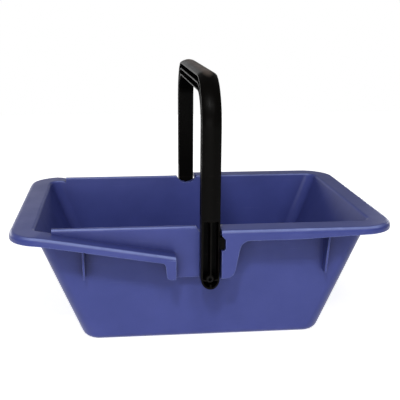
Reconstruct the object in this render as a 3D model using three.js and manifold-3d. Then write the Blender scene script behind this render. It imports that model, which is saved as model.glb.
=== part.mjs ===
// Utility basket: a tapered moulded tub and a carrying handle that swings down onto ramps in its rim.
// Millimetres, +Z up, the base on Z = 0 under the middle of the rim, the handle folding towards -X.

import * as THREE from "three";
import { mergeVertices } from "three/addons/utils/BufferGeometryUtils.js";
import Module from "manifold-3d";

const wasm = await Module();
wasm.setup();

// Tub: overall sizes and walls
const RIM_LENGTH = 480; // over the rim along X
const RIM_WIDTH = 340; // over the rim along Y
const TUB_HEIGHT = 155; // base to the top of the rim
const RIM_CORNER = 46; // plan radius of the rim's outer corners
const END_FLANGE = 26; // rim's outer edge to the outer face of an end wall
const SIDE_FLANGE = 29.5; // rim's outer edge to the outer face of a side wall
const WALL_CORNER = 18; // plan radius of the walls' corners under the rim
const END_LEAN = 60.5; // how far an end wall draws in from the rim down to the ground
const SIDE_LEAN = 11.5; // how far a side wall draws in
const BASE_CORNER = 20; // plan radius of the base's corners
const WALL = 2.5;
const FLOOR = 3;
const BASE_EDGE = 8; // rounding between base and walls outside
const FLOOR_EDGE = 7; // rounding between floor and walls inside
const LIP_DEPTH = 13; // turned-down lip of the rim, below the rim's top
const LIP_RISE = 84; // length beside the right corners over which the lip gets shallower
const RIM_EDGE = 6; // rounding of the rim's outer edge
const MOUTH_EDGE = 3; // rounding between the rim and the inside of the tub

// Tub: ramps, curbs and pockets, alike on both long sides
const RAMP_ANGLE = 10; // fall of the ramp towards the pocket, in degrees
const END_DROP = 4; // left end of the rim below the rest of it
const RAMP_INSET = 41; // rim's left end to the start of the ramp
const LOW_LIP = 9.5; // depth of the lip round both ends and along the ramps
const CURB_INSET = 53; // rim's left end to the square end of the curb
const LEDGE = 23; // rim's outer edge to the face of the curb
const CURB_EDGE = 4; // rounding of the curb's outer top edge
const POCKET_REACH = 42; // pivot to the pocket's left wall
const STOP_CLEAR = 2; // upright arm to the pocket's right wall
const PANEL_DEPTH = 65.5; // rim's top to the foot of the pocket's back panel
const APRON_DEPTH = 60.5; // rim's top to the foot of the aprons beside the pocket
const LEFT_APRON = { width: 13, foot: 11, inner: 6, outer: 6 }; // widths and the two roundings of its edge
const RIGHT_APRON = { width: 24, foot: 15, inner: 12, outer: 11 };
const NOTCH_RADIUS = 17.5; // round notch in the curb beside the arm
const NOTCH_DEPTH = 11;
const TONGUE_RADIUS = 11; // round end of the back panel behind the pivot

// Tub: stacking fins under the rim
const FIN_MIDDLE = 2; // place along the tub half way between the two fins of a side
const FIN_SPREAD = 304; // distance between them
const FIN_THICKNESS = 2.5;
const FIN_DEPTH = 65; // rim's top to the foot of a fin
const FIN_TOP = 20; // how far a fin stands off the wall under the rim
const FIN_FOOT = 12.5; // how far it stands off the wall at its foot

// Handle: one bent bar with channels moulded into it
const PIVOT_X = 4; // pivot's place along the tub
const PIVOT_DEPTH = 63; // rim's top down to the pivot with the handle upright
const HANDLE_REACH = 247; // pivot to the crest of the grip
const ARM_WIDTH = 23; // along X with the handle upright
const CROWN = 4; // rise of the bar's outer face from its edges to its crest
const ARM_THICKNESS = 18.4; // arm's inner face to the edges of its outer face
const GRIP_THICKNESS = 19.8; // the same across the grip
const BEND_RADIUS = 57.5; // of the outer face's edges
const INNER_BEND = 34; // of the inner face
const BAR_EDGE = 1.2; // rounding of the inner face's edges
const BAR_SKIN = 2.2; // flanges and web of the channel, and floor of the recesses
const BAR_RIB = 1.8; // rib along the middle of the channel
const CHANNEL_FOOT = 79; // pivot to the foot of the channel on the arm
const RECESS_TOP = 74.5; // pivot to the top of the recess in the arm's outer face
const RECESS_WALL = 2.2; // wall round that recess
const RECESS_RIB = 1.8; // ribs in that recess
const LUG_BASE = 38; // pivot to the foot of the stop lug
const LUG_HEIGHT = 15;
const LUG_REACH = 6; // how far the lug stands off the arm
const LUG_DEPTH = 10;
const LUG_SETBACK = 1; // lug below the edges of the arm's outer face
const LUG_EDGE = 3;

// Pivot pins
const PIN_RADIUS = 3;
const PIN_HEAD_RADIUS = 6;
const PIN_HEAD = 2.2; // thickness of the head behind the panel
const PIN_COLLAR_RADIUS = 4.2;
const PIN_COLLAR = 1.4; // thickness of the snapped-over outer end
const PIN_HOLLOW_RADIUS = 2.1;
const PIN_HOLLOW = 6; // depth of the hollow in that end
const HUB_RADIUS = 5.2;
const HUB_SETBACK = 3; // hub below the edges of the arm's outer face

// Fits
const PIN_CLEAR = 0.3; // round the pins, and at each end of them
const ARM_CLEAR = 0.6; // arm's inner face to the curb
const FOLD_CLEAR = 0.6; // folded arm above the ramp
const LUG_CLEAR = 0.5; // lug in its notch

// Facets
const CORNER_STEPS = 8;
const EDGE_STEPS = 3;
const ARC_STEPS = 8;
const LATHE_STEPS = 32;
const OVERSHOOT = 1; // how far a cut runs past what it cuts
const WELD = 1e-4; // points nearer than this are one

const TUB_BLUE = { color: 0x4f549a, roughness: 0.45, metalness: 0 };
const HANDLE_BLACK = { color: 0x14120f, roughness: 0.4, metalness: 0 };

// Places that follow from the sizes above
const slope = Math.tan(THREE.MathUtils.degToRad(RAMP_ANGLE));
const endLevel = TUB_HEIGHT - END_DROP;
const rampStart = RAMP_INSET - RIM_LENGTH / 2;
const curbStart = CURB_INSET - RIM_LENGTH / 2;
const curbFace = RIM_WIDTH / 2 - LEDGE;
const lipTurn = RIM_LENGTH / 2 - RIM_CORNER - LIP_RISE;
const pivotHeight = TUB_HEIGHT - PIVOT_DEPTH;
const pocketLeft = PIVOT_X - POCKET_REACH;
const pocketRight = PIVOT_X + ARM_WIDTH / 2 + STOP_CLEAR;
const panelFoot = TUB_HEIGHT - PANEL_DEPTH;
const apronFoot = TUB_HEIGHT - APRON_DEPTH;
const armInner = curbFace + ARM_CLEAR;
const armOuter = armInner + ARM_THICKNESS;
const armCrest = armOuter + CROWN;
const gripTop = pivotHeight + HANDLE_REACH;
const gripEdge = gripTop - CROWN;
const gripUnder = gripEdge - GRIP_THICKNESS;
const armLeft = PIVOT_X - ARM_WIDTH / 2;
const armRight = PIVOT_X + ARM_WIDTH / 2;

// The pins rise in their slots until the folded arms lie along the ramps
const foldedAxis = (ARM_WIDTH / 2 + FOLD_CLEAR) * Math.hypot(1, slope);
const lift = rampLevel(PIVOT_X) + foldedAxis - pivotHeight;

// Level of the ramp's edge, drawn on past both ends of the ramp
function rampLevel(x) {
  return endLevel - slope * (x - rampStart);
}

// Level of the rim's edge: the low left end, then the ramp down to the pocket, then the full height
function rimLevel(x) {
  return x <= pocketLeft ? Math.min(endLevel, rampLevel(x)) : TUB_HEIGHT;
}

// Level of the lip's lower edge, which rises towards the right corners
function lipLevel(x) {
  const risen = THREE.MathUtils.clamp((x - lipTurn) / LIP_RISE, 0, 1);
  const depth = x <= pocketLeft ? LOW_LIP : THREE.MathUtils.lerp(LIP_DEPTH, LOW_LIP, risen);
  return rimLevel(x) - depth;
}

// Solids

function solid(geometry) {
  const bare = new THREE.BufferGeometry();
  bare.setAttribute("position", geometry.getAttribute("position"));
  bare.setIndex(geometry.index);
  const merged = mergeVertices(bare, WELD);
  const corners = merged.index.array;
  const kept = [];
  for (let i = 0; i < corners.length; i += 3) {
    const [a, b, c] = corners.slice(i, i + 3);
    if (a !== b && b !== c && c !== a) kept.push(a, b, c);
  }
  const mesh = new wasm.Mesh({
    numProp: 3,
    vertProperties: merged.getAttribute("position").array,
    triVerts: new Uint32Array(kept),
  });
  return new wasm.Manifold(mesh);
}

function named(name, body, finish) {
  const { vertProperties, triVerts } = body.getMesh();
  const geometry = new THREE.BufferGeometry();
  geometry.setAttribute("position", new THREE.BufferAttribute(vertProperties, 3));
  geometry.setIndex(new THREE.BufferAttribute(triVerts, 1));
  geometry.computeVertexNormals();
  const mesh = new THREE.Mesh(geometry, new THREE.MeshStandardMaterial(finish));
  mesh.name = name;
  return mesh;
}

// An outline drawn in X and Z, carried along Y from one plane to the other
function alongY(shape, from, to) {
  const depth = Math.abs(to - from);
  const geometry = new THREE.ExtrudeGeometry(shape, { depth, bevelEnabled: false, curveSegments: ARC_STEPS });
  geometry.rotateX(Math.PI / 2);
  geometry.translate(0, Math.max(from, to), 0);
  return solid(geometry);
}

// An outline drawn in Y and Z, carried along X, with its edges rounded if asked
function alongX(shape, from, to, edge = 0) {
  const geometry = new THREE.ExtrudeGeometry(shape, {
    depth: to - from - 2 * edge,
    bevelEnabled: edge > 0,
    bevelThickness: edge,
    bevelSize: edge,
    bevelOffset: -edge,
    bevelSegments: EDGE_STEPS,
    curveSegments: ARC_STEPS,
  });
  const [x, y, z] = [new THREE.Vector3(1, 0, 0), new THREE.Vector3(0, 1, 0), new THREE.Vector3(0, 0, 1)];
  geometry.applyMatrix4(new THREE.Matrix4().makeBasis(y, z, x));
  geometry.translate(from + edge, 0, 0);
  return solid(geometry);
}

function polygon(...corners) {
  return new THREE.Shape(corners.map(([u, v]) => new THREE.Vector2(u, v)));
}

function rectangle(left, low, right, high) {
  return polygon([left, low], [right, low], [right, high], [left, high]);
}

function disc(u, v, radius) {
  return new THREE.Shape().absarc(u, v, radius, 0, 2 * Math.PI, false);
}

// An upright slot outline with a round foot and a round or a square head
function slot(u, low, high, radius, roundHead) {
  const shape = new THREE.Shape().absarc(u, low, radius, Math.PI, 2 * Math.PI, false);
  if (roundHead) return shape.absarc(u, high, radius, 0, Math.PI, false);
  shape.lineTo(u + radius, high);
  shape.lineTo(u - radius, high);
  return shape;
}

// A closed skin over rings with equal numbers of points, flat over the first and the last
function loft(rings) {
  const count = rings[0].length;
  const index = [];
  for (let i = 0; i + 1 < rings.length; i++)
    for (let j = 0; j < count; j++) {
      const a = i * count + j;
      const b = i * count + ((j + 1) % count);
      index.push(a, b, b + count, a, b + count, a + count);
    }
  const last = (rings.length - 1) * count;
  for (let j = 1; j + 1 < count; j++) {
    index.push(0, j + 1, j);
    index.push(last, last + j, last + j + 1);
  }
  const geometry = new THREE.BufferGeometry().setFromPoints(rings.flat());
  geometry.setIndex(index);
  return solid(geometry);
}

// Tub

// Where the long sides change: the square end of the curb, the pocket's two walls and the turn of the lip
const stations = [
  { x: curbStart, curb: false },
  { x: curbStart, curb: true },
  { x: pocketLeft, curb: true },
  { x: pocketRight, curb: true },
  { x: pocketRight, curb: false },
  { x: lipTurn, curb: false },
];

// A rounded rectangle seen from above, with a point at each station of its front and back sides
function planOutline({ halfX, halfY, radius }) {
  const flatX = halfX - radius;
  const flatY = halfY - radius;
  const corner = (signX, signY, start) =>
    Array.from({ length: CORNER_STEPS + 1 }, (_, k) => {
      const angle = start + (Math.PI / 2) * (k / CORNER_STEPS);
      const x = signX * flatX + radius * Math.cos(angle);
      const y = signY * flatY + radius * Math.sin(angle);
      return { x, y, curb: false };
    });
  const side = (y) =>
    stations.map(({ x, curb }) => ({ x: THREE.MathUtils.clamp(x, -flatX, flatX), y, curb }));
  return [
    ...side(-halfY),
    ...corner(1, -1, -Math.PI / 2),
    ...corner(1, 1, 0),
    ...side(halfY).reverse(),
    ...corner(-1, 1, Math.PI / 2),
    ...corner(-1, -1, Math.PI),
  ];
}

// Plan of the tub's outer wall at a height, drawn in by an inset
function wallPlan(inset) {
  const drop = (z) => 1 - z / TUB_HEIGHT;
  return (z) => ({
    halfX: RIM_LENGTH / 2 - END_FLANGE - END_LEAN * drop(z) - inset,
    halfY: RIM_WIDTH / 2 - SIDE_FLANGE - SIDE_LEAN * drop(z) - inset,
    radius: THREE.MathUtils.lerp(WALL_CORNER, BASE_CORNER, drop(z)) - inset,
  });
}

// Plan of the rim's outer edge, drawn in by an inset
function rimPlan(inset) {
  const plan = { halfX: RIM_LENGTH / 2 - inset, halfY: RIM_WIDTH / 2 - inset, radius: RIM_CORNER - inset };
  return () => plan;
}

// Plan of the curbs' faces, drawn in by an inset; across the ends, which have no curb, it stays on the flange
function curbPlan(inset) {
  const plan = {
    halfX: RIM_LENGTH / 2 - Math.min(LEDGE, END_FLANGE - MOUTH_EDGE),
    halfY: curbFace - inset,
    radius: RIM_CORNER - LEDGE,
  };
  return () => plan;
}

// One ring of the tub's skin: its height is found first, and then its place on the sloping wall
function tubRing(plan, height) {
  return planOutline(plan(TUB_HEIGHT)).map((point, i) => {
    const z = height(point.x, point.curb);
    const placed = planOutline(plan(z))[i];
    return new THREE.Vector3(placed.x, placed.y, z);
  });
}

// The steps of a quarter round, as shares of its radius across and up
function quarterRound(steps) {
  return Array.from({ length: steps + 1 }, (_, k) => {
    const angle = (Math.PI / 2) * (k / steps);
    return { across: 1 - Math.sin(angle), up: 1 - Math.cos(angle) };
  });
}

function tubShell() {
  const crestLevel = (x, curb) => (curb ? TUB_HEIGHT : rimLevel(x));
  const chamfer = RIM_EDGE - WALL;
  const outside = quarterRound(ARC_STEPS / 2).map(({ across, up }) =>
    tubRing(wallPlan(BASE_EDGE * across), () => BASE_EDGE * up),
  );
  const underRim = [
    tubRing(wallPlan(0), (x, curb) => crestLevel(x, curb) - WALL),
    tubRing(curbPlan(WALL), (x, curb) => crestLevel(x, curb) - WALL),
    tubRing(curbPlan(WALL), (x) => rimLevel(x) - WALL),
    tubRing(rimPlan(WALL + chamfer), (x) => rimLevel(x) - WALL),
    tubRing(rimPlan(WALL), (x) => rimLevel(x) - WALL - chamfer),
    tubRing(rimPlan(WALL), lipLevel),
    tubRing(rimPlan(0), lipLevel),
  ];
  const rimEdge = quarterRound(EDGE_STEPS).map(({ across, up }) =>
    tubRing(rimPlan(RIM_EDGE * up), (x) => rimLevel(x) - RIM_EDGE * across),
  );
  const ledge = tubRing(curbPlan(0), rimLevel);
  const curbEdge = quarterRound(EDGE_STEPS).map(({ across, up }) =>
    tubRing(curbPlan(CURB_EDGE * up), (x, curb) =>
      Math.max(rimLevel(x), crestLevel(x, curb) - CURB_EDGE * across),
    ),
  );
  const mouth = quarterRound(EDGE_STEPS).map(({ across, up }) =>
    tubRing(wallPlan(WALL - MOUTH_EDGE * across), (x, curb) => crestLevel(x, curb) - MOUTH_EDGE * up),
  );
  const inside = quarterRound(ARC_STEPS / 2)
    .reverse()
    .map(({ across, up }) => tubRing(wallPlan(WALL + FLOOR_EDGE * across), () => FLOOR + FLOOR_EDGE * up));
  return loft([...outside, ...underRim, ...rimEdge, ledge, ...curbEdge, ...mouth, ...inside]);
}

// An apron hangs from the lip beside the pocket; its free edge leans in, rounded into the lip and its foot
function apronShape(edge, direction, { width, foot, inner, outer }) {
  const lip = lipLevel(edge + direction * (width + inner));
  const lean = (width - foot) / (lip - apronFoot);
  const across = (offset) => edge + direction * offset;
  const shape = new THREE.Shape();
  shape.moveTo(edge, apronFoot);
  shape.lineTo(edge, lip + WALL);
  shape.lineTo(across(width + inner), lip + WALL);
  shape.lineTo(across(width + inner), lip);
  shape.quadraticCurveTo(across(width), lip, across(width - lean * inner), lip - inner);
  shape.lineTo(across(foot + lean * outer), apronFoot + outer);
  shape.quadraticCurveTo(across(foot), apronFoot, across(foot - outer), apronFoot);
  return shape;
}

// The pocket's back panel and its tongue behind the pivot, with the slot that the pin rises in
function backPanel(side) {
  const [inner, outer] = [side * (curbFace - WALL), side * curbFace];
  const top = TUB_HEIGHT - CURB_EDGE;
  const panel = alongY(rectangle(pocketLeft - WALL, panelFoot, pocketRight + WALL, top), inner, outer);
  const tongue = alongY(disc(PIVOT_X, pivotHeight, TONGUE_RADIUS), inner, outer);
  const slotShape = slot(PIVOT_X, pivotHeight, pivotHeight + lift, PIN_RADIUS + PIN_CLEAR, true);
  return panel.add(tongue).subtract(alongY(slotShape, inner - side * OVERSHOOT, outer + side * OVERSHOOT));
}

// A side wall of the pocket, from the back panel to the rim's outer face, ending within the rim's thickness
function pocketWall(side, from, to, rim) {
  const [inner, outer, top] = [curbFace - WALL, RIM_WIDTH / 2, rim - WALL / 2];
  const corners = [
    [inner, panelFoot],
    [outer, apronFoot],
    [outer, rim - RIM_EDGE],
    [outer - RIM_EDGE + WALL / 2, top],
    [inner, top],
  ];
  return alongX(polygon(...corners.map(([y, z]) => [side * y, z])), from, to);
}

// The notch for the handle's lug, with a roof that lets the lug leave upwards as the arm swings away
function lugNotch(side) {
  const right = armRight + LUG_REACH + LUG_CLEAR;
  const left = pocketRight - OVERSHOOT;
  const low = pivotHeight + LUG_BASE - LUG_CLEAR;
  const high = pivotHeight + LUG_BASE + LUG_HEIGHT + LUG_CLEAR;
  const eaves = high - LUG_EDGE / 2;
  const edge = LUG_EDGE + LUG_CLEAR;
  const shape = new THREE.Shape();
  shape.moveTo(left, eaves + right - left);
  shape.lineTo(left, low);
  shape.absarc(right - edge, low + edge, edge, -Math.PI / 2, 0, false);
  shape.lineTo(right, eaves);
  const inner = armOuter - LUG_SETBACK - LUG_DEPTH - LUG_CLEAR;
  return alongY(shape, side * inner, side * (RIM_WIDTH / 2 + OVERSHOOT));
}

function curbNotch(side) {
  const middle = TUB_HEIGHT + NOTCH_RADIUS - NOTCH_DEPTH;
  const inner = wallPlan(WALL + OVERSHOOT)(TUB_HEIGHT - NOTCH_DEPTH).halfY;
  return alongY(disc(PIVOT_X, middle, NOTCH_RADIUS), side * inner, side * (curbFace + OVERSHOOT));
}

// A stacking fin: a thin web from the wall to the underside of the rim
function stackingFin(side, x) {
  const foot = TUB_HEIGHT - FIN_DEPTH;
  const [left, right] = [x - FIN_THICKNESS / 2, x + FIN_THICKNESS / 2];
  const top = Math.min(rimLevel(left), rimLevel(right)) - WALL / 2;
  const wall = (z) => wallPlan(WALL / 2)(z).halfY;
  const face = (z) => wallPlan(0)(z).halfY;
  const shape = polygon(
    [side * wall(foot), foot],
    [side * (face(foot) + FIN_FOOT), foot],
    [side * (face(top) + FIN_TOP), top],
    [side * wall(top), top],
  );
  return alongX(shape, left, right);
}

function buildTub() {
  let tub = tubShell();
  for (const side of [-1, 1]) {
    const pocket = rectangle(pocketLeft, 0, pocketRight, TUB_HEIGHT + OVERSHOOT);
    const [apronInner, apronOuter] = [side * (RIM_WIDTH / 2 - WALL), (side * RIM_WIDTH) / 2];
    tub = tub
      .subtract(alongY(pocket, side * curbFace, side * (RIM_WIDTH / 2 + OVERSHOOT)))
      .add(backPanel(side))
      .add(pocketWall(side, pocketLeft - WALL, pocketLeft, rampLevel(pocketLeft)))
      .add(pocketWall(side, pocketRight, pocketRight + WALL, TUB_HEIGHT))
      .add(alongY(apronShape(pocketLeft, -1, LEFT_APRON), apronInner, apronOuter))
      .add(alongY(apronShape(pocketRight, 1, RIGHT_APRON), apronInner, apronOuter))
      .add(stackingFin(side, FIN_MIDDLE - FIN_SPREAD / 2))
      .add(stackingFin(side, FIN_MIDDLE + FIN_SPREAD / 2))
      .subtract(lugNotch(side))
      .subtract(curbNotch(side));
  }
  return tub;
}

// Handle

// Height of the crowned outer face above its edges
function crownHeight(x) {
  const radius = (ARM_WIDTH ** 2 / 4 + CROWN ** 2) / (2 * CROWN);
  return Math.sqrt(radius ** 2 - (x - PIVOT_X) ** 2) - radius + CROWN;
}

// Points across the crowned face, sunk below it
function crownLine(from, to, sunk) {
  return Array.from({ length: ARC_STEPS + 1 }, (_, k) => {
    const x = THREE.MathUtils.lerp(from, to, k / ARC_STEPS);
    return { x, share: 0, out: crownHeight(x) - sunk };
  });
}

// Stations along the bent bar in Y and Z, from the front arm's foot over the grip to the rear arm's foot
function barStations(foot) {
  const [outerY, outerZ] = [armOuter - BEND_RADIUS, gripEdge - BEND_RADIUS];
  const [innerY, innerZ] = [armInner - INNER_BEND, gripUnder - INNER_BEND];
  const bend = Array.from({ length: ARC_STEPS + 1 }, (_, k) => {
    const angle = (Math.PI / 2) * (k / ARC_STEPS);
    const out = new THREE.Vector2(Math.cos(angle), Math.sin(angle));
    const outer = new THREE.Vector2(outerY, outerZ).addScaledVector(out, BEND_RADIUS);
    const inner = new THREE.Vector2(innerY, innerZ).addScaledVector(out, INNER_BEND);
    return { outer, inner, out };
  });
  const armFoot = {
    outer: new THREE.Vector2(armOuter, foot),
    inner: new THREE.Vector2(armInner, foot),
    out: new THREE.Vector2(1, 0),
  };
  const rear = [armFoot, ...bend];
  const mirrored = ({ x, y }) => new THREE.Vector2(-x, y);
  const front = rear.map(({ outer, inner, out }) => ({
    outer: mirrored(outer),
    inner: mirrored(inner),
    out: mirrored(out),
  }));
  return [...front, ...rear.reverse()];
}

// A section carried along the bar; each point lies a share of the way from the outer edges to the inner face
function alongBar(section, foot) {
  const rings = barStations(foot).map(({ outer, inner, out }) =>
    section.map((point) => {
      const place = outer.clone().lerp(inner, point.share).addScaledVector(out, point.out);
      return new THREE.Vector3(point.x, place.x, place.y);
    }),
  );
  return loft(rings);
}

// The bar's full section: the crowned outer face, then the inner face with its edges rounded
function barSection() {
  const rounded = (edge, inwards) =>
    quarterRound(EDGE_STEPS).map(({ across, up }) => {
      return { x: edge + inwards * BAR_EDGE * up, share: 1, out: BAR_EDGE * across };
    });
  return [...crownLine(armLeft, armRight, 0), ...rounded(armRight, -1), ...rounded(armLeft, 1).reverse()];
}

// The two halves of the channel that opens to the left, on both sides of its rib
function channelSections() {
  const [open, web] = [armLeft - OVERSHOOT, armRight - BAR_SKIN];
  const level = (share, out) => [
    { x: open, share, out },
    { x: web, share, out },
  ];
  const outer = [...crownLine(open, web, BAR_SKIN), ...level(1 / 2, BAR_RIB / 2).reverse()];
  const inner = [...level(1 / 2, -BAR_RIB / 2), ...level(1, BAR_SKIN).reverse()];
  return [outer, inner];
}

// The recess in the outer face of an arm's lower end, around its hub and ribs
function armRecess(side) {
  const [floor, clear] = [side * (armInner + BAR_SKIN), side * (armCrest + OVERSHOOT)];
  const hubFace = side * (armOuter - HUB_SETBACK);
  const top = pivotHeight + RECESS_TOP;
  const half = RECESS_RIB / 2;
  const hub = disc(PIVOT_X, pivotHeight, HUB_RADIUS);
  const upright = rectangle(PIVOT_X - half, pivotHeight - ARM_WIDTH / 2, PIVOT_X + half, top);
  const level = rectangle(armLeft, pivotHeight - half, armRight, pivotHeight + half);
  return alongY(slot(PIVOT_X, pivotHeight, top, ARM_WIDTH / 2 - RECESS_WALL, false), floor, clear)
    .subtract(alongY(upright, floor, clear))
    .subtract(alongY(level, floor, clear))
    .subtract(alongY(hub, floor, clear))
    .add(alongY(hub, hubFace, clear));
}

// The stop lug on the right edge of an arm, with its free corners rounded
function stopLug(side) {
  const low = pivotHeight + LUG_BASE;
  const high = low + LUG_HEIGHT;
  const right = armRight + LUG_REACH;
  const root = armRight - BAR_EDGE;
  const shape = new THREE.Shape();
  shape.moveTo(root, high);
  shape.lineTo(root, low);
  shape.absarc(right - LUG_EDGE, low + LUG_EDGE, LUG_EDGE, -Math.PI / 2, 0, false);
  shape.absarc(right - LUG_EDGE, high - LUG_EDGE, LUG_EDGE, 0, Math.PI / 2, false);
  const outer = armOuter - LUG_SETBACK;
  return alongY(shape, side * (outer - LUG_DEPTH), side * outer);
}

function buildHandle() {
  const roundEnds = slot(PIVOT_X, pivotHeight, gripTop + OVERSHOOT, ARM_WIDTH / 2, false);
  const reach = armCrest + OVERSHOOT;
  let handle = alongBar(barSection(), pivotHeight - ARM_WIDTH / 2 - OVERSHOOT);
  handle = handle.intersect(alongY(roundEnds, -reach, reach));
  for (const section of channelSections())
    handle = handle.subtract(alongBar(section, pivotHeight + CHANNEL_FOOT));
  for (const side of [-1, 1]) {
    const bore = disc(PIVOT_X, pivotHeight, PIN_RADIUS + PIN_CLEAR);
    handle = handle
      .subtract(armRecess(side))
      .add(stopLug(side))
      .subtract(alongY(bore, side * (armInner - OVERSHOOT), side * reach));
  }
  return handle;
}

// Pivot pins

// A pin from its head behind the panel, through the slot and the hub, to its snapped-over outer end
function buildPin(side) {
  const neck = curbFace - WALL - PIN_CLEAR;
  const collar = armOuter - HUB_SETBACK + PIN_CLEAR;
  const end = collar + PIN_COLLAR;
  const profile = [
    [0, neck - PIN_HEAD],
    [PIN_HEAD_RADIUS, neck - PIN_HEAD],
    [PIN_HEAD_RADIUS, neck],
    [PIN_RADIUS, neck],
    [PIN_RADIUS, collar],
    [PIN_COLLAR_RADIUS, collar],
    [PIN_COLLAR_RADIUS, end],
    [PIN_HOLLOW_RADIUS, end],
    [PIN_HOLLOW_RADIUS, end - PIN_HOLLOW],
    [0, end - PIN_HOLLOW],
  ];
  const points = profile.map(([radius, y]) => new THREE.Vector2(radius, side * y));
  if (side < 0) points.reverse();
  const geometry = new THREE.LatheGeometry(points, LATHE_STEPS);
  geometry.translate(PIVOT_X, 0, pivotHeight);
  return solid(geometry);
}

const basket = new THREE.Group();
basket.name = "utility_basket";
basket.add(
  named("tub", buildTub(), TUB_BLUE),
  named("handle", buildHandle(), HANDLE_BLACK),
  named("front_pivot_pin", buildPin(-1), HANDLE_BLACK),
  named("rear_pivot_pin", buildPin(1), HANDLE_BLACK),
);

export default basket;
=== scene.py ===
import math

import bmesh
import bpy
from mathutils import Matrix, Vector


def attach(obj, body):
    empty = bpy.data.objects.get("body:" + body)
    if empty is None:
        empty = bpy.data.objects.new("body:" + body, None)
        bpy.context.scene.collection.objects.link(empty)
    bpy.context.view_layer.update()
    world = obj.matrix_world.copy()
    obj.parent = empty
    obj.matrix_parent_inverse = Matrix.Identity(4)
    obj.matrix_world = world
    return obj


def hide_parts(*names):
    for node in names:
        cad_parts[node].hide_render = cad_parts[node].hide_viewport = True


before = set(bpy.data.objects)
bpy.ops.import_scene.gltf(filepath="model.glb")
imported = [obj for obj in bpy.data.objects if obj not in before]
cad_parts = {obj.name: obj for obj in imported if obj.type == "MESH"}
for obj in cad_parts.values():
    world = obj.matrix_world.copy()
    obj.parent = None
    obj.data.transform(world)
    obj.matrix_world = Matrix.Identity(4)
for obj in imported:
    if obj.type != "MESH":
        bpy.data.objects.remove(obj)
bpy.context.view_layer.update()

MM = 0.001
AIM = Vector((0, 0, 0.1))  # point of the basket that the camera and the lamps face

# Camera: the place, turn and lens that the photograph was taken with, angles in degrees
IMAGE = 400  # pixels along each side of the picture
CAMERA_AZIMUTH = 6.04  # from the front to the left
CAMERA_ELEVATION = 17.1
CAMERA_ROLL = 0.23
CAMERA_DISTANCE = 1.04
FOCAL = 721.4  # pixels
AXIS_X, AXIS_Y = 193.0, 234.0  # pixel that the lens points at
SENSOR = 36  # mm
NEAREST = 0.01  # nearer things are not shown

# Studio
AMBIENT = 0.03  # light of the surround on the basket
DIM_ROOM = 0.2  # tone that gloss mirrors above and beside the white backdrop
BACKDROP_SLANT = 0.4  # the backdrop is mirrored higher on the left than on the right
BACKDROP_TOP = (0.12, 0.26)  # upward part of a direction over which white gives way to the room
BACKDROP_SIDE = (0.25, 0.4)  # sideways part of a direction, likewise
FLOOR_HALF = 2  # half of the floor's side
FLOOR_DROP = 0.2 * MM  # floor below the basket's base
FLOOR_TONE = 0.95
FLOOR_ROUGHNESS = 0.9
FLOOR_GLOW = 0.84  # share of the floor's white that needs no lamp
GLOW_REACH = (0.4, 1.2)  # distances from the basket over which that share grows to 1
LAMPS = (  # name, azimuth from the front to the right, elevation, distance, size, watts
    ("key_lamp", -13, 48, 2.3, (0.25, 0.25), 17),
    ("left_lamp", -38, 46, 2.3, (0.6, 0.5), 5),
    ("right_lamp", 14, 44, 2.3, (0.6, 0.5), 8),
    ("low_lamp", -16, 9, 2.4, (2.0, 0.5), 10),
    ("left_back_lamp", -138, 7, 2.4, (1.2, 0.4), 9),
    ("right_back_lamp", 138, 7, 2.4, (1.2, 0.4), 7),
)

# Moulded skin; noises are given as scale per metre, detail and roughness
SINK_NOISE = (9.0, 2.0)
SINK_HEIGHT = 2.0 * MM
GRAIN_NOISE = (2.0, 0.5)  # detail and roughness, as the scale is each material's own
GRAIN_HEIGHT = 0.2 * MM
MOTTLE_NOISE = (26.0, 4.0)

# Abrasion, dirt, painted highlight and painted shade; spans run from no effect to full effect
EDGE_REACH = 1.2 * MM
EDGE_SAMPLES = 4
EDGE_TURN = (0.995, 0.86)  # cosine between the softened normal and the true one
EDGE_NOISE = (60.0, 5.0, 0.65)
EDGE_PATCHES = (0.35, 0.7)
LEAST_CORNER_PALING = 0.4  # share of the corner abrasion and painted highlight that is left between patches
LEAST_BROW_HIGHLIGHT = 0.7
BROW_RISE = (0.46, 0.78)  # upward part of the normal on the brows, where the highlight is painted
BROW_TOP = (0.98, 0.93)  # upward part of the normal where the painted highlight on the brows ends in a level top
BROW_SIDE = (0.5, 0.72)  # sideways share of the normal on the long sides
BROW_AT_ENDS = 0.1  # share of the painted highlight on the short sides
SCRATCH_LAYS = ((0.35, (9.0, 260.0, 260.0)), (-0.6, (14.0, 340.0, 340.0)))  # turn and stretch
SCRATCH_TILT = (0.6, 1.0, 1.7)  # share of the turn about each axis
SCRATCH_NOISE = (1.0, 2.0, 0.4)
SCRATCH_LINES = (0.66, 0.74)
SCRATCH_FIELD = 17.0  # scale of the noise that says where scratches lie
SCRATCH_FIELD_SHIFT = 4.0  # its change with the turn, so that the two lays part
SCRATCH_FIELD_DETAIL = 2.0
SCRATCH_FIELD_SPAN = (0.5, 0.72)
DUST_LEVEL = (0.9, 1.0)  # upward part of the normal where dust stays and a sheen is painted
DUST_NOISE = (30.0, 6.0, 0.6)
# Painted shade: corners and overhangs darken by how shut in they are
RECESS_REACH = 40 * MM
RECESS_SAMPLES = 12
RECESS_SHUT = (0.95, 0.35)  # openness to the outside

# Plastics: how the effects mix
TONE_PATCHES = (0.3, 0.7)
GLOSS_PATCHES = (0.25, 0.75)
SCRATCH_SHARE = 0.05
# share of the painted shade tone in the most shut-in corners
PAINTED_SHADE_SHARE = 0.85
PALING_FADE = (0.1, 0.28)  # painted shade over which edge abrasion and painted highlight fade out
DUST_FADE = (0.0, 0.4)  # painted shade over which dust and painted sheen fade out
PALE_ROUGHNESS = 0.25  # added to the roughness where abrasion, scratches, dust, painted sheen and painted highlight make the plastic pale

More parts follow.
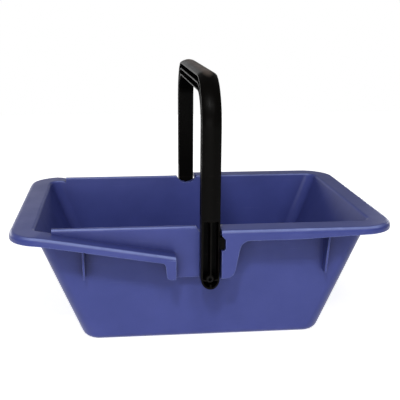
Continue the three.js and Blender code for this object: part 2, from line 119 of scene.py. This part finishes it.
# Mouldings
WELD = 0.005 * MM
FLAT = math.radians(0.4)  # faces that meet at less than this are one
SHARP = math.radians(32)  # edges that turn more than this are softened
EDGE_STEPS = 3
FACE_WEIGHT = 80  # pull of large faces on the shading


def link(obj):
    bpy.context.scene.collection.objects.link(obj)
    return obj


def photo_camera():
    azimuth, elevation, roll = (math.radians(a) for a in (CAMERA_AZIMUTH, CAMERA_ELEVATION, CAMERA_ROLL))
    level = math.cos(elevation)
    back = Vector((-math.sin(azimuth) * level, -math.cos(azimuth) * level, math.sin(elevation)))
    across = (-back).cross(Vector((0, 0, 1))).normalized()
    upright = across.cross(-back)
    right = across * math.cos(roll) + upright * math.sin(roll)
    up = upright * math.cos(roll) - across * math.sin(roll)
    data = bpy.data.cameras.new("photo_camera")
    data.sensor_width = SENSOR
    data.lens = FOCAL * SENSOR / IMAGE
    data.shift_x = (IMAGE / 2 - AXIS_X) / IMAGE
    data.shift_y = (AXIS_Y - IMAGE / 2) / IMAGE
    data.clip_start = NEAREST
    camera = link(bpy.data.objects.new("photo_camera", data))
    turn = Matrix((right, up, back)).transposed().to_4x4()
    camera.matrix_world = Matrix.Translation(AIM + back * CAMERA_DISTANCE) @ turn
    bpy.context.scene.camera = camera


# Node helpers
class Nodes:
    """A short way to add nodes to a tree and to join them up."""

    def __init__(self, tree):
        self.tree = tree

    def add(self, kind, **settings):
        node = self.tree.nodes.new(kind)
        for name, value in settings.items():
            setattr(node, name, value)
        return node

    def join(self, source, target):
        self.tree.links.new(source, target)

    def feed(self, socket, given):
        """Give a socket a constant or the output of another node."""
        if isinstance(given, (int, float, tuple)):
            socket.default_value = given
        else:
            self.join(given, socket)

    def value(self, operation, *inputs, clamp=False):
        node = self.add("ShaderNodeMath", operation=operation, use_clamp=clamp)
        for socket, given in zip(node.inputs, inputs):
            self.feed(socket, given)
        return node.outputs[0]

    def product(self, first, *others):
        for other in others:
            first = self.value("MULTIPLY", first, other)
        return first

    def parts(self, vector):
        node = self.add("ShaderNodeSeparateXYZ")
        self.join(vector, node.inputs[0])
        return node.outputs

    def noise(self, place, scale, detail, roughness=0.55):
        node = self.add("ShaderNodeTexNoise")
        self.feed(node.inputs["Scale"], scale)
        node.inputs["Detail"].default_value = detail
        node.inputs["Roughness"].default_value = roughness
        self.join(place, node.inputs["Vector"])
        return node.outputs["Fac"]

    def bump(self, height, strength, distance):
        node = self.add("ShaderNodeBump")
        node.inputs["Distance"].default_value = distance
        self.join(strength, node.inputs["Strength"])
        self.join(height, node.inputs["Height"])
        return node

    def ramp(self, source, span, start=0.0, end=1.0):
        """Go from start to end, and no further, as the source goes over its span."""
        node = self.add("ShaderNodeMapRange", clamp=True)
        node.inputs["From Min"].default_value, node.inputs["From Max"].default_value = span
        node.inputs["To Min"].default_value = start
        node.inputs["To Max"].default_value = end
        self.join(source, node.inputs["Value"])
        return node.outputs["Result"]

    def blend(self, share, first, second):
        node = self.add("ShaderNodeMix", data_type="RGBA")
        for socket, given in zip((node.inputs[0], node.inputs[6], node.inputs[7]), (share, first, second)):
            self.feed(socket, given)
        return node.outputs[2]


def shade(hex_colour):
    """A written sRGB colour as the linear one that shaders take."""
    parts = [int(hex_colour[i : i + 2], 16) / 255 for i in (0, 2, 4)]
    linear = [p / 12.92 if p <= 0.04045 else ((p + 0.055) / 1.055) ** 2.4 for p in parts]
    return (*linear, 1.0)


# Effects that the materials share
FLOAT, VECTOR = "NodeSocketFloat", "NodeSocketVector"


def group(name, inputs, outputs):
    """A node group with number inputs, given with their defaults, and outputs, given with their kinds."""
    tree = bpy.data.node_groups.new(name, "ShaderNodeTree")
    for label, default in inputs.items():
        socket = tree.interface.new_socket(label, in_out="INPUT", socket_type=FLOAT)
        socket.default_value = default
    for label, kind in outputs.items():
        tree.interface.new_socket(label, in_out="OUTPUT", socket_type=kind)
    nodes = Nodes(tree)
    return tree, nodes, nodes.add("NodeGroupInput").outputs, nodes.add("NodeGroupOutput").inputs


def moulded_surface_group():
    """Fine spark-eroded grain and slow waviness of a moulded skin."""
    tree, nodes, given, result = group(
        "moulded_surface",
        {"Grain Size": 900.0, "Grain Depth": 0.08, "Sink Depth": 0.2},
        {"Normal": VECTOR, "Mottle": FLOAT},
    )
    place = nodes.add("ShaderNodeTexCoord").outputs["Object"]
    slow = nodes.noise(place, *SINK_NOISE)
    fine = nodes.noise(place, given["Grain Size"], *GRAIN_NOISE)
    sink = nodes.bump(slow, given["Sink Depth"], SINK_HEIGHT)
    grain = nodes.bump(fine, given["Grain Depth"], GRAIN_HEIGHT)
    nodes.join(sink.outputs["Normal"], grain.inputs["Normal"])
    nodes.join(grain.outputs["Normal"], result["Normal"])
    nodes.join(nodes.noise(place, *MOTTLE_NOISE), result["Mottle"])
    return tree


def edge_paling_group():
    """A mask along outer edges: partly abrasion and partly painted highlight on sharp corners, and a
    painted highlight on the brows of the long sides.
    """
    tree, nodes, given, result = group("edge_paling_and_highlight", {"Reach": EDGE_REACH, "Brow": 1.0}, {"Mask": FLOAT})
    spot = nodes.add("ShaderNodeTexCoord").outputs
    patches = nodes.ramp(nodes.noise(spot["Object"], *EDGE_NOISE), EDGE_PATCHES)

    softened = nodes.add("ShaderNodeBevel", samples=EDGE_SAMPLES)
    nodes.join(given["Reach"], softened.inputs["Radius"])
    likeness = nodes.add("ShaderNodeVectorMath", operation="DOT_PRODUCT")
    nodes.join(softened.outputs["Normal"], likeness.inputs[0])
    nodes.join(nodes.add("ShaderNodeNewGeometry").outputs["Normal"], likeness.inputs[1])
    turned = nodes.ramp(likeness.outputs["Value"], EDGE_TURN)
    corner = nodes.product(turned, nodes.ramp(patches, (0, 1), LEAST_CORNER_PALING, 1))

    # Painted highlight: a pale band on the upward rounding of the brows of the long sides
    facing = nodes.parts(spot["Normal"])
    risen = nodes.ramp(facing["Z"], BROW_RISE)
    below_top = nodes.ramp(facing["Z"], BROW_TOP)
    along = nodes.value("ABSOLUTE", facing["X"])
    across = nodes.value("ABSOLUTE", facing["Y"])
    more_than_zero = nodes.value("ADD", nodes.value("ADD", along, across), 0.001)
    sideways = nodes.ramp(nodes.value("DIVIDE", across, more_than_zero), BROW_SIDE, BROW_AT_ENDS)
    sheen_and_abrasion = nodes.ramp(patches, (0, 1), LEAST_BROW_HIGHLIGHT, 1)
    brow_highlight = nodes.product(risen, below_top, sheen_and_abrasion, sideways, given["Brow"])
    nodes.join(nodes.value("MAXIMUM", brow_highlight, corner), result["Mask"])
    return tree


def scuff_group():
    """Short fine scratches in two directions, and dust with a painted sheen on faces that are level with
    the basket at rest.
    """
    tree, nodes, _, result = group("scuffs", {}, {"Scratches": FLOAT, "DustAndSheen": FLOAT})
    spot = nodes.add("ShaderNodeTexCoord").outputs
    masks = []
    for turn, stretch in SCRATCH_LAYS:
        lay = nodes.add("ShaderNodeMapping")
        lay.inputs["Rotation"].default_value = tuple(turn * share for share in SCRATCH_TILT)
        lay.inputs["Scale"].default_value = stretch
        nodes.join(spot["Object"], lay.inputs["Vector"])
        lines = nodes.ramp(nodes.noise(lay.outputs["Vector"], *SCRATCH_NOISE), SCRATCH_LINES)
        scale = SCRATCH_FIELD + SCRATCH_FIELD_SHIFT * turn
        where = nodes.ramp(nodes.noise(spot["Object"], scale, SCRATCH_FIELD_DETAIL), SCRATCH_FIELD_SPAN)
        masks.append(nodes.product(lines, where))
    nodes.join(nodes.value("MAXIMUM", *masks), result["Scratches"])
    level = nodes.ramp(nodes.parts(spot["Normal"])["Z"], DUST_LEVEL)
    nodes.join(nodes.product(level, nodes.noise(spot["Object"], *DUST_NOISE)), result["DustAndSheen"])
    return tree


def painted_shade_group():
    """A mask in corners and under overhangs, where the colour is darkened as painted shade."""
    tree, nodes, given, result = group("recesses", {"Reach": RECESS_REACH}, {"Mask": FLOAT})
    open_share = nodes.add("ShaderNodeAmbientOcclusion", samples=RECESS_SAMPLES, only_local=True)
    nodes.join(given["Reach"], open_share.inputs["Distance"])
    nodes.join(nodes.ramp(open_share.outputs["AO"], RECESS_SHUT), result["Mask"])
    return tree


EFFECTS = {
    "surface": moulded_surface_group(),
    "paling": edge_paling_group(),
    "scuffs": scuff_group(),
    "recesses": painted_shade_group(),
}


def effect(nodes, name, **settings):
    node = nodes.add("ShaderNodeGroup", node_tree=EFFECTS[name])
    for label, given in settings.items():
        node.inputs[label.replace("_", " ")].default_value = given
    return node.outputs


def plastic(name, main, deep, sheen_and_abrasion, shade_tone, roughness, specular, paling_share, brow_highlight, dust, skin):
    """Moulded plastic: two tones in slow patches, painted shade in corners and under overhangs, pale edge
    abrasion with a painted highlight, scratches, and dust with a painted sheen.
    """
    material = bpy.data.materials.new(name)
    material.use_nodes = True
    material.node_tree.nodes.clear()
    nodes = Nodes(material.node_tree)
    shader = nodes.add("ShaderNodeBsdfPrincipled")
    output = nodes.add("ShaderNodeOutputMaterial")
    nodes.join(shader.outputs[0], output.inputs["Surface"])
    surface = effect(nodes, "surface", **skin)
    paling = effect(nodes, "paling", Reach=EDGE_REACH, Brow=brow_highlight)
    scuffs = effect(nodes, "scuffs")
    painted_shade_mask = effect(nodes, "recesses", Reach=RECESS_REACH)["Mask"]

    # pale edge abrasion on sharp corners, with a painted highlight there and on the brows
    faded_paling = nodes.product(paling["Mask"], nodes.ramp(painted_shade_mask, PALING_FADE, paling_share, 0))
    scratched = nodes.product(scuffs["Scratches"], SCRATCH_SHARE)
    # dust on level faces, which on the grip top is also a painted sheen
    dust_and_sheen_mask = nodes.product(scuffs["DustAndSheen"], nodes.ramp(painted_shade_mask, DUST_FADE, dust, 0))
    pale = nodes.value("ADD", nodes.value("MAXIMUM", faded_paling, scratched), dust_and_sheen_mask, clamp=True)

    body = nodes.blend(nodes.ramp(surface["Mottle"], TONE_PATCHES), shade(main), shade(deep))
    # painted shade: the colour darkens towards the shade tone in corners and under overhangs
    body = nodes.blend(nodes.product(painted_shade_mask, PAINTED_SHADE_SHARE), body, shade(shade_tone))
    nodes.join(nodes.blend(pale, body, shade(sheen_and_abrasion)), shader.inputs["Base Color"])
    gloss = nodes.ramp(surface["Mottle"], GLOSS_PATCHES, *roughness)
    dulled = nodes.value("ADD", gloss, nodes.product(pale, PALE_ROUGHNESS))
    nodes.join(dulled, shader.inputs["Roughness"])
    nodes.join(surface["Normal"], shader.inputs["Normal"])
    shader.inputs["Specular IOR Level"].default_value = specular
    return material


# Pieces: each moulding takes its solid's faces, with its edges softened
def moulding(name, node, body, material, edge):
    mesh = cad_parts[node].data.copy()
    mesh.name = name
    mesh.materials.clear()
    mesh.materials.append(material)
    work = bmesh.new()
    work.from_mesh(mesh)
    bmesh.ops.remove_doubles(work, verts=work.verts, dist=WELD)
    bmesh.ops.dissolve_limit(work, angle_limit=FLAT, verts=work.verts, edges=work.edges)
    for face in work.faces:
        face.smooth = True
        face.material_index = 0
    work.to_mesh(mesh)
    work.free()
    piece = link(bpy.data.objects.new(name, mesh))
    bevel = piece.modifiers.new("soft_edges", "BEVEL")
    bevel.limit_method = "ANGLE"
    bevel.angle_limit = SHARP
    bevel.width = edge
    bevel.segments = EDGE_STEPS
    bevel.miter_outer = "MITER_ARC"
    bevel.use_clamp_overlap = True
    even = piece.modifiers.new("even_shading", "WEIGHTED_NORMAL")
    even.keep_sharp = True
    even.weight = FACE_WEIGHT
    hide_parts(node)
    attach(piece, body)


# Studio: a white surround, a white floor that keeps the shadow, soft lamps in front and low ones behind
def seen_rays(nodes, mirrored_share=1.0):
    """1 on rays from the camera, and a share of it on rays off gloss or through glass."""
    rays = nodes.add("ShaderNodeLightPath").outputs
    mirrored = nodes.value("MAXIMUM", rays["Is Glossy Ray"], rays["Is Transmission Ray"])
    return nodes.value("MAXIMUM", rays["Is Camera Ray"], nodes.product(mirrored, mirrored_share))


def surround():
    """White all round; gloss mirrors a white backdrop with a dimmer room above and beside it."""
    world = bpy.data.worlds.new("surround")
    bpy.context.scene.world = world
    world.use_nodes = True
    world.node_tree.nodes.clear()
    nodes = Nodes(world.node_tree)
    sky = nodes.add("ShaderNodeBackground")
    sky.inputs["Color"].default_value = (1, 1, 1, 1)
    way = nodes.parts(nodes.add("ShaderNodeTexCoord").outputs["Generated"])
    slanted = nodes.value("ADD", way["Z"], nodes.product(way["X"], BACKDROP_SLANT))
    height = nodes.ramp(slanted, BACKDROP_TOP, 1.0, DIM_ROOM)
    width = nodes.ramp(nodes.value("ABSOLUTE", way["X"]), BACKDROP_SIDE, 1.0, DIM_ROOM)
    backdrop = nodes.value("MINIMUM", height, width)
    strength = nodes.value("MAXIMUM", seen_rays(nodes, backdrop), AMBIENT)
    nodes.join(strength, sky.inputs["Strength"])
    nodes.join(sky.outputs[0], nodes.add("ShaderNodeOutputWorld").inputs["Surface"])


def floor():
    """White paper under the basket, a little less bright near it so that the shadow stays."""
    mesh = bpy.data.meshes.new("floor")
    work = bmesh.new()
    bmesh.ops.create_grid(work, x_segments=1, y_segments=1, size=FLOOR_HALF)
    work.to_mesh(mesh)
    work.free()
    plane = link(bpy.data.objects.new("floor", mesh))
    plane.location.z = -FLOOR_DROP
    paper = bpy.data.materials.new("floor_paper")
    paper.use_nodes = True
    nodes = Nodes(paper.node_tree)
    shader = paper.node_tree.nodes["Principled BSDF"]
    shader.inputs["Base Color"].default_value = (FLOOR_TONE, FLOOR_TONE, FLOOR_TONE, 1)
    shader.inputs["Roughness"].default_value = FLOOR_ROUGHNESS
    shader.inputs["Specular IOR Level"].default_value = 0.0
    shader.inputs["Emission Color"].default_value = (1, 1, 1, 1)
    away = nodes.add("ShaderNodeVectorMath", operation="LENGTH")
    nodes.join(nodes.add("ShaderNodeTexCoord").outputs["Object"], away.inputs[0])
    glow = nodes.ramp(away.outputs["Value"], GLOW_REACH, FLOOR_GLOW, 1.0)
    nodes.join(nodes.product(seen_rays(nodes), glow), shader.inputs["Emission Strength"])
    mesh.materials.append(paper)


def lamp(name, azimuth, elevation, distance, size, power):
    """A soft rectangular lamp that faces the basket."""
    turn, rise = math.radians(azimuth), math.radians(elevation)
    way = Vector((math.sin(turn) * math.cos(rise), -math.cos(turn) * math.cos(rise), math.sin(rise)))
    data = bpy.data.lights.new(name, "AREA")
    data.shape = "RECTANGLE"
    data.size, data.size_y = size
    data.energy = power
    light = link(bpy.data.objects.new(name, data))
    facing = (-way).to_track_quat("-Z", "Y").to_matrix().to_4x4()
    light.matrix_world = Matrix.Translation(AIM + way * distance) @ facing


def studio():
    bpy.context.scene.view_settings.view_transform = "Standard"
    surround()
    floor()
    for settings in LAMPS:
        lamp(*settings)


photo_camera()
studio()

tub_blue = plastic(
    "tub_blue",
    main="4b549c",
    deep="454e93",
    # pale tone of edge abrasion, scratches, dust and the painted highlight
    sheen_and_abrasion="a6b4ee",
    # tone of the painted shade in corners and under overhangs
    shade_tone="262a5c",
    roughness=(0.28, 0.36),
    specular=0.24,
    paling_share=0.66,
    # strength of the painted highlight on the brows
    brow_highlight=1.0,
    dust=0.04,
    skin={"Grain_Size": 1100.0, "Grain_Depth": 0.10, "Sink_Depth": 0.10},
)
handle_black = plastic(
    "handle_black",
    main="0a0908",
    deep="080706",
    # pale tone of the dust and painted sheen on the grip top, and of abrasion and scratches
    sheen_and_abrasion="90827a",
    # tone of the painted shade in corners and under overhangs
    shade_tone="040303",
    roughness=(0.3, 0.4),
    specular=0.035,
    paling_share=0.06,
    brow_highlight=0.0,
    # dust and a painted sheen on the grip top
    dust=0.85,
    skin={"Grain_Size": 1500.0, "Grain_Depth": 0.12, "Sink_Depth": 0.05},
)
pin_black = plastic(
    "pin_black",
    main="100e0d",
    deep="0c0b0a",
    sheen_and_abrasion="403d39",
    # tone of the painted shade in corners and under overhangs
    shade_tone="060505",
    roughness=(0.3, 0.4),
    specular=0.09,
    paling_share=0.15,
    brow_highlight=0.0,
    dust=0.1,
    skin={"Grain_Size": 1800.0, "Grain_Depth": 0.06, "Sink_Depth": 0.0},
)

moulding("tub_moulding", "tub", "tub", tub_blue, edge=0.8 * MM)
moulding("handle_moulding", "handle", "handle", handle_black, edge=0.5 * MM)
moulding("front_pin", "front_pivot_pin", "pins", pin_black, edge=0.35 * MM)
moulding("rear_pin", "rear_pivot_pin", "pins", pin_black, edge=0.35 * MM)
